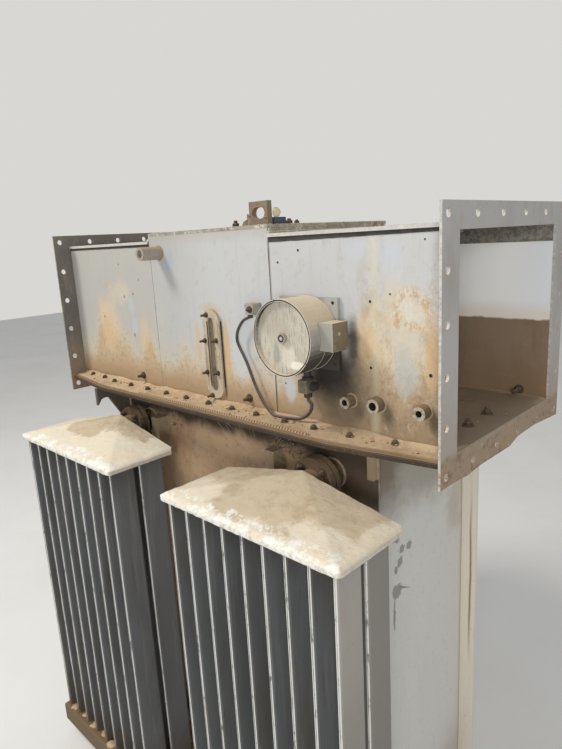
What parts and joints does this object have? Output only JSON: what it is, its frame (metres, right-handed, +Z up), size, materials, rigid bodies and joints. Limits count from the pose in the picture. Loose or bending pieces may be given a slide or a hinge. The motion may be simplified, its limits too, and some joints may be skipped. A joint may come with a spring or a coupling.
{
  "type": "power transformer",
  "caption": "Old oil-filled power transformer with an open duct box, dial gauge and flat-tube radiators along one side.",
  "frame": {"origin": "centre of the bounding box at ground level", "axes": "+Z up, X along the duct box, -Y towards the radiators and the gauge"},
  "size_m": [1.335, 0.792, 1.6736],
  "materials": {
    "grey_paint": "worn light grey paint with dust",
    "dusty_paint": "paint under brown dust",
    "dark_steel": "dark rusty steel",
    "slate_paint": "slate blue-grey paint",
    "flange_paint": "dull grey paint, chipped",
    "dial_face": "dusty pale face",
    "black_line": "black sheath",
    "sight_glass": "stained glass"
  },
  "bodies": {
    "root": {"back_wall_left": "grey_paint", "back_wall_middle": "grey_paint", "back_wall_right": "grey_paint", "capillary_bracket": "dark_steel", "capillary_line": "black_line", "clamp_lower": "dusty_paint", "clamp_upper": "dusty_paint", "corner_bar_left": "grey_paint", "corner_bar_right": "grey_paint", "deck_plate": "dusty_paint", "front_wall_left": "grey_paint", "front_wall_middle": "grey_paint", "front_wall_right": "grey_paint", "gauge_case": "grey_paint", "gauge_dial": "dial_face", "gauge_knob": "dial_face", "gauge_plate": "grey_paint", "gauge_terminal_box": "grey_paint", "left_duct_flange": "flange_paint", "lifting_hook": "dark_steel", "lower_pipe_left": "dusty_paint", "lower_pipe_right": "dusty_paint", "lug_left": "dark_steel", "lug_middle": "dark_steel", "radiator_bank_left": "slate_paint", "radiator_bank_right": "slate_paint", "radiator_cap_left": "dusty_paint", "radiator_cap_right": "dusty_paint", "right_duct_flange": "flange_paint", "riser_left": "dusty_paint", "riser_right": "dusty_paint", "roof_left": "grey_paint", "roof_middle": "grey_paint", "roof_right": "grey_paint", "sensor_fitting": "dark_steel", "sight_frame": "dusty_paint", "sight_pane": "sight_glass", "skid_left": "dark_steel", "skid_right": "dark_steel", "socket_left": "dark_steel", "socket_middle": "dark_steel", "socket_right": "dark_steel", "stop_bar": "dusty_paint", "tank_back": "grey_paint", "tank_bottom": "dark_steel", "tank_flange": "dark_steel", "tank_front": "dusty_paint", "tank_left": "grey_paint", "tank_right": "grey_paint", "top_angle_back": "flange_paint", "top_angle_front": "flange_paint", "upper_pipe_left": "dusty_paint", "upper_pipe_right": "dusty_paint", "vent_stub": "dark_steel"}
  },
  "joints": []
}
